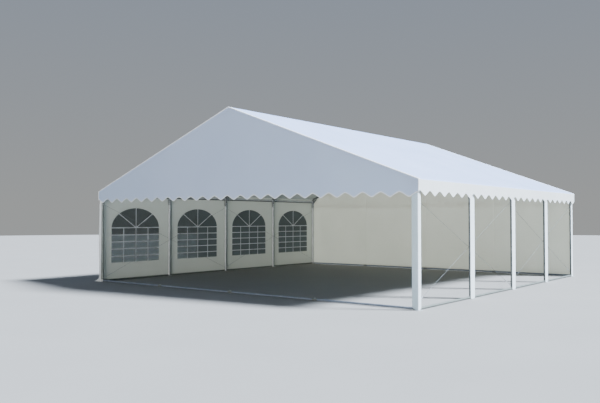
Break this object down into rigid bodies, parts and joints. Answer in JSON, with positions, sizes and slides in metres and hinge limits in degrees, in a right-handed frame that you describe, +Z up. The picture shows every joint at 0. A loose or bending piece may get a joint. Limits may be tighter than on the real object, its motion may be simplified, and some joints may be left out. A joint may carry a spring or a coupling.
{
  "type": "marquee tent",
  "caption": "Gable marquee tent with a steel tube frame, scalloped white fabric roof, windowed side wall, plain rear wall, open front and open side with wire braces.",
  "frame": {"origin": "middle of the footprint, on the ground", "axes": "+Z up, -Y out of the open front gable, -X towards the side wall with windows, +X towards the open side"},
  "size_m": [8.07, 8.07, 3.543],
  "materials": {
    "galvanised_tube": "galvanised steel tube, dull grey zinc",
    "dark_fittings": "weathered galvanised steel fittings and rails, dark grey",
    "steel_wire": "stranded steel wire rope",
    "roof_fabric": "white coated polyester fabric, satin, with bright welded edge binding",
    "wall_fabric": "white coated polyester fabric, satin",
    "clear_film": "clear flexible film with white welded bars"
  },
  "bodies": {
    "root": {"brace_wire_left_1": "steel_wire", "brace_wire_left_2": "steel_wire", "brace_wire_left_3": "steel_wire", "brace_wire_left_4": "steel_wire", "brace_wire_right_1": "steel_wire", "brace_wire_right_2": "steel_wire", "brace_wire_right_3": "steel_wire", "brace_wire_right_4": "steel_wire", "eave_rail_left": "dark_fittings", "eave_rail_right": "dark_fittings", "front_gable": "roof_fabric", "ground_bar_front": "dark_fittings", "ground_bar_left": "galvanised_tube", "ground_bar_rear": "dark_fittings", "ground_bar_right": "galvanised_tube", "leg_cover_front_left": "wall_fabric", "leg_cover_front_right": "wall_fabric", "leg_cover_rear_right": "wall_fabric", "leg_cover_right_2": "wall_fabric", "leg_cover_right_3": "wall_fabric", "leg_cover_right_4": "wall_fabric", "leg_left_1": "galvanised_tube", "leg_left_2": "galvanised_tube", "leg_left_3": "galvanised_tube", "leg_left_4": "galvanised_tube", "leg_left_5": "galvanised_tube", "leg_right_1": "galvanised_tube", "leg_right_2": "galvanised_tube", "leg_right_3": "galvanised_tube", "leg_right_4": "galvanised_tube", "leg_right_5": "galvanised_tube", "purlin_left": "galvanised_tube", "purlin_right": "galvanised_tube", "rafter_left_1": "galvanised_tube", "rafter_left_2": "galvanised_tube", "rafter_left_3": "galvanised_tube", "rafter_left_4": "galvanised_tube", "rafter_left_5": "galvanised_tube", "rafter_right_1": "galvanised_tube", "rafter_right_2": "galvanised_tube", "rafter_right_3": "galvanised_tube", "rafter_right_4": "galvanised_tube", "rafter_right_5": "galvanised_tube", "rear_gable": "roof_fabric", "rear_wall": "wall_fabric", "ridge_rail": "dark_fittings", "roof_cover": "roof_fabric", "side_wall_1": "wall_fabric", "side_wall_2": "wall_fabric", "side_wall_3": "wall_fabric", "side_wall_4": "wall_fabric", "window_film_1": "clear_film", "window_film_2": "clear_film", "window_film_3": "clear_film", "window_film_4": "clear_film"}
  },
  "joints": []
}
